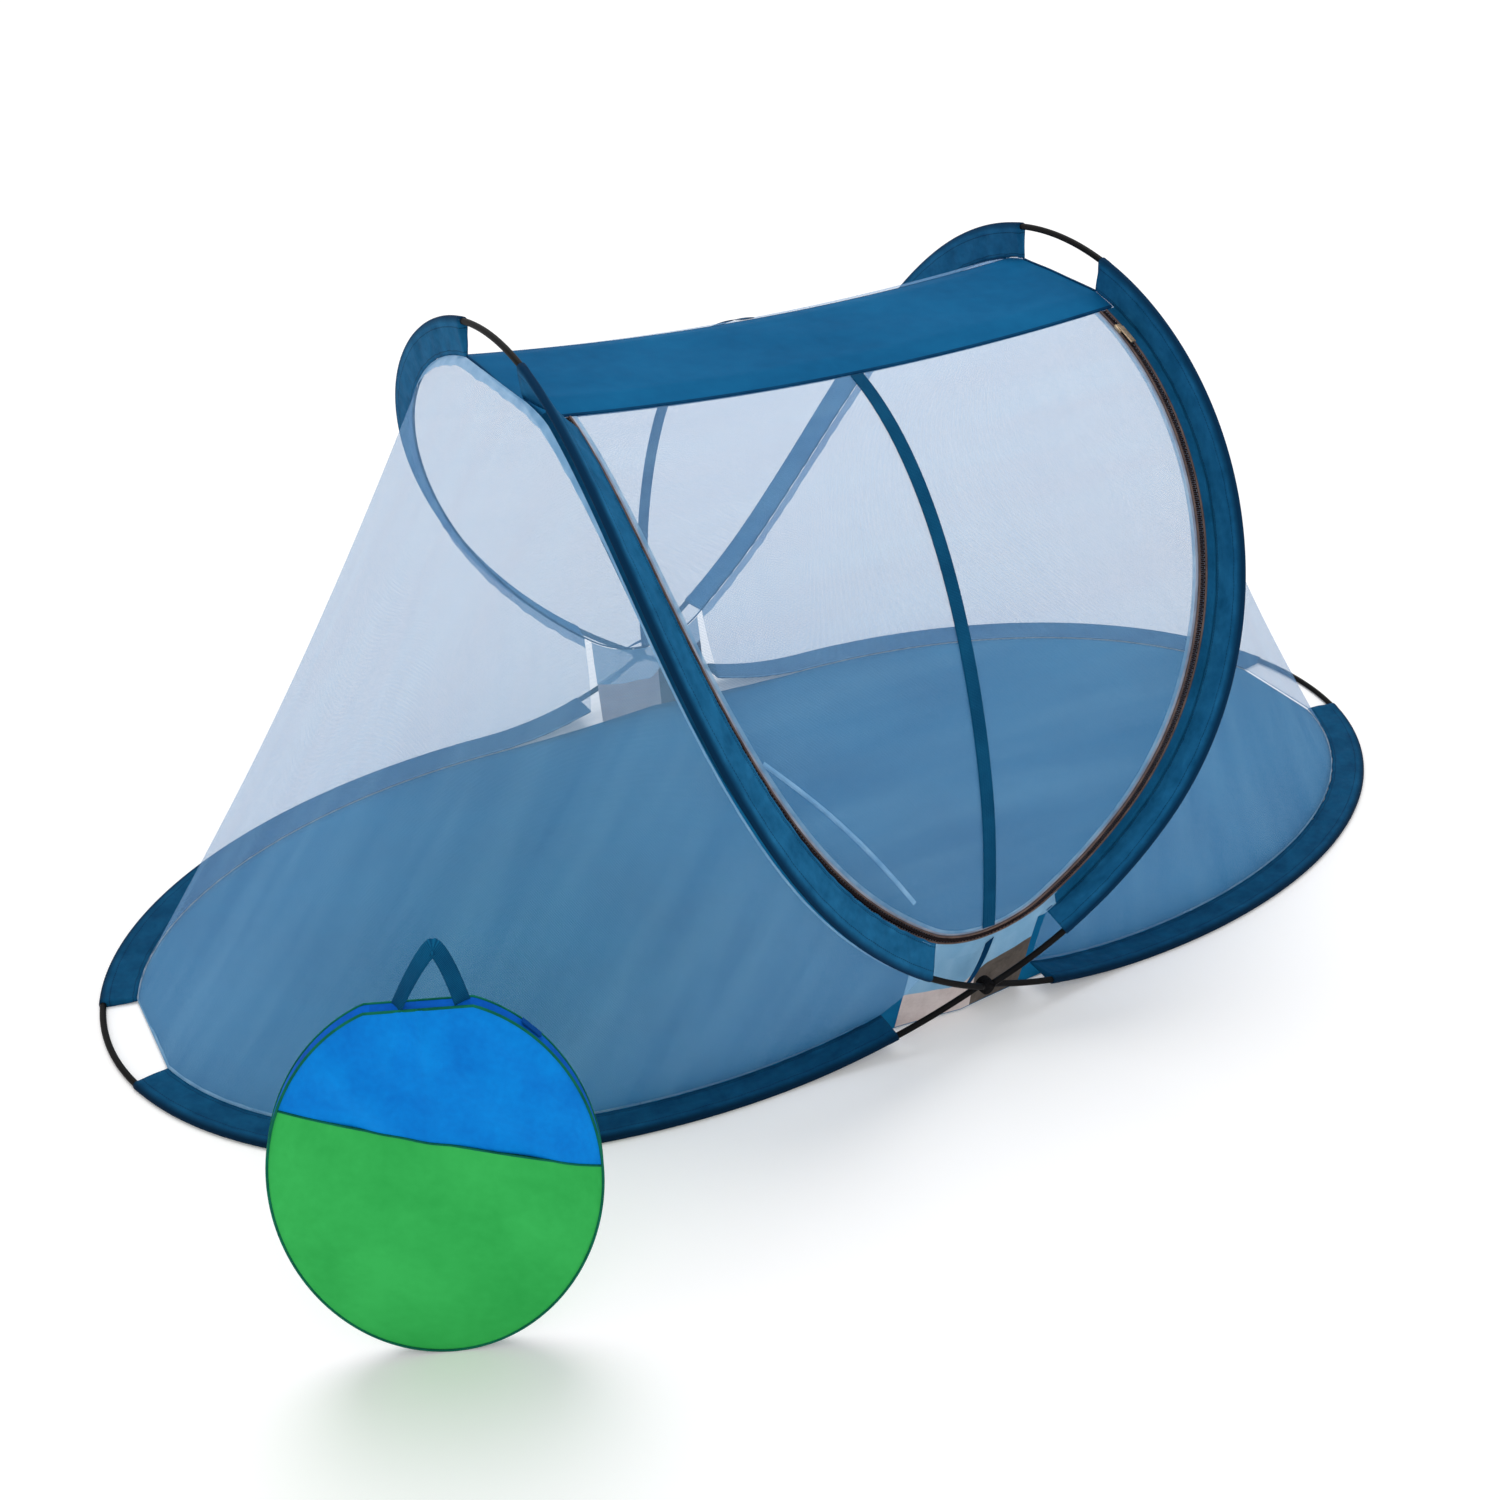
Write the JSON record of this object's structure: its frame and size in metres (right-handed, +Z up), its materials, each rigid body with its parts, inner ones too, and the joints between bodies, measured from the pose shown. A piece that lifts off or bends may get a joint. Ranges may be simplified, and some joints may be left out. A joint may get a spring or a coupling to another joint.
{
  "type": "mosquito net tent",
  "caption": "Pop-up mosquito net tent on crossed sprung wire hoops, with a zipped net door, cloth roof strip, sewn-in floor and a round carry bag beside it.",
  "frame": {"origin": "on the ground under the middle of the tent, on the floor's underside", "axes": "+Z up, +X along the tent's length, -Y towards the zipped door and the carry bag"},
  "size_m": [2.0004, 1.2751, 0.8499],
  "materials": {
    "wire": "black coated spring steel wire",
    "ferrule": "crimped steel tube",
    "tie": "black binding tape",
    "sleeve": "blue polyester cloth",
    "floor": "blue coated cloth",
    "roof": "blue polyester cloth",
    "net": "pale blue mosquito net",
    "webbing": "woven blue webbing",
    "zip": "dark brown coil zip on tape",
    "slider": "antique plated metal",
    "bag_blue": "bright blue polyester cloth",
    "bag_green": "bright green polyester cloth"
  },
  "bodies": {
    "right_base": {"wire_base_right": "wire", "sleeve_base_right_front": "sleeve", "sleeve_base_right_back": "sleeve", "ferrule_right": "ferrule", "floor_right": "floor", "end_net_right": "net", "crossing_tie_front": "tie", "crossing_tie_back": "tie", "gusset_front": "net", "gusset_back": "net"},
    "left_base": {"wire_base_left": "wire", "sleeve_base_left_front": "sleeve", "sleeve_base_left_back": "sleeve", "ferrule_left": "ferrule", "floor_left": "floor", "end_net_left": "net"},
    "right_arch_lower": {"wire_arch_right_lower_front": "wire", "wire_arch_right_lower_back": "wire", "sleeve_arch_right_lower_front": "sleeve", "sleeve_arch_right_lower_back": "sleeve"},
    "left_arch_lower": {"wire_arch_left_lower_front": "wire", "wire_arch_left_lower_back": "wire", "sleeve_arch_left_lower_front": "sleeve", "sleeve_arch_left_lower_back": "sleeve"},
    "right_arch_upper": {"wire_arch_right_upper": "wire", "sleeve_arch_right_upper_front": "sleeve", "sleeve_arch_right_upper_back": "sleeve", "roof_right": "roof", "back_net_right": "net", "back_webbing": "webbing", "door_surround": "net", "door_zip": "zip"},
    "left_arch_upper": {"wire_arch_left_upper": "wire", "sleeve_arch_left_upper_front": "sleeve", "sleeve_arch_left_upper_back": "sleeve", "roof_left": "roof", "back_net_left": "net"},
    "front_door": {"front_door": "net", "door_webbing": "webbing"},
    "zip_slider": {"zip_slider": "slider"},
    "zip_pull_tab": {"zip_pull_tab": "slider"},
    "bag": {"bag_front_upper": "bag_blue", "bag_front_lower": "bag_green", "bag_back": "bag_green", "bag_rim": "bag_blue", "bag_zip_left": "zip", "bag_zip_right": "zip", "bag_top_panel": "bag_blue", "bag_handle": "webbing"},
    "bag_zip_pull": {"bag_zip_pull": "slider"}
  },
  "joints": [
    {"name": "fold", "type": "hinge", "parent": "right_base", "child": "left_base", "pos_m": [0, 0, 0.07538], "axis": [0, 1, 0], "range_deg": [0, 180], "stiffness_Nm_per_rad": 0.5, "deforming": ["end_net_left", "end_net_right", "roof_left", "roof_right", "back_net_left", "back_net_right", "back_webbing", "door_surround", "door_zip", "front_door", "door_webbing", "gusset_front", "gusset_back"]},
    {"name": "right_arch_fold", "type": "hinge", "parent": "right_base", "child": "right_arch_lower", "pos_m": [0, 0, 0.07538], "axis": [0, 1, 0], "range_deg": [0, 49.7]},
    {"name": "left_arch_fold", "type": "hinge", "parent": "left_base", "child": "left_arch_lower", "pos_m": [0, 0, 0.07538], "axis": [0, 1, 0], "range_deg": [-49.7, 0]},
    {"name": "right_arch_flex", "type": "hinge", "parent": "right_arch_lower", "child": "right_arch_upper", "pos_m": [0.31975, 0, 0.3957], "axis": [0, 1, 0], "range_deg": [0, 26]},
    {"name": "left_arch_flex", "type": "hinge", "parent": "left_arch_lower", "child": "left_arch_upper", "pos_m": [-0.31975, 0, 0.3957], "axis": [0, 1, 0], "range_deg": [-26, 0]},
    {"name": "door_turn", "type": "hinge", "parent": "right_arch_upper", "child": "front_door", "pos_m": [0, -0.12, 0.78433], "axis": [1, 0, 0], "range_deg": [-100, 0]},
    {"name": "zip_travel", "type": "hinge", "parent": "right_arch_upper", "child": "zip_slider", "pos_m": [0.19529, 0.01266, 0.35493], "axis": [0.9143, 0.187, -0.3592], "range_deg": [0, 42]},
    {"name": "tab_swing", "type": "hinge", "parent": "zip_slider", "child": "zip_pull_tab", "pos_m": [0.39312, -0.16498, 0.77389], "axis": [-0.9996, -0.0268, -0.0118], "range_deg": [0, 120]},
    {"name": "bag_lift", "type": "slide", "parent": "right_base", "child": "bag", "axis": [0, 0, 1], "range_m": [0, 0.5]},
    {"name": "bag_zip_travel", "type": "hinge", "parent": "bag", "child": "bag_zip_pull", "pos_m": [-0.88084, -0.62946, 0.25114], "axis": [0.3714, 0.9285, 0], "range_deg": [0, 33]}
  ],
  "couplings": [
    {"joint": "right_arch_fold", "follows": "fold", "ratio": 0.2761},
    {"joint": "left_arch_fold", "follows": "fold", "ratio": -0.2761},
    {"joint": "right_arch_flex", "follows": "fold", "ratio": 0.1444},
    {"joint": "left_arch_flex", "follows": "fold", "ratio": -0.1444}
  ]
}
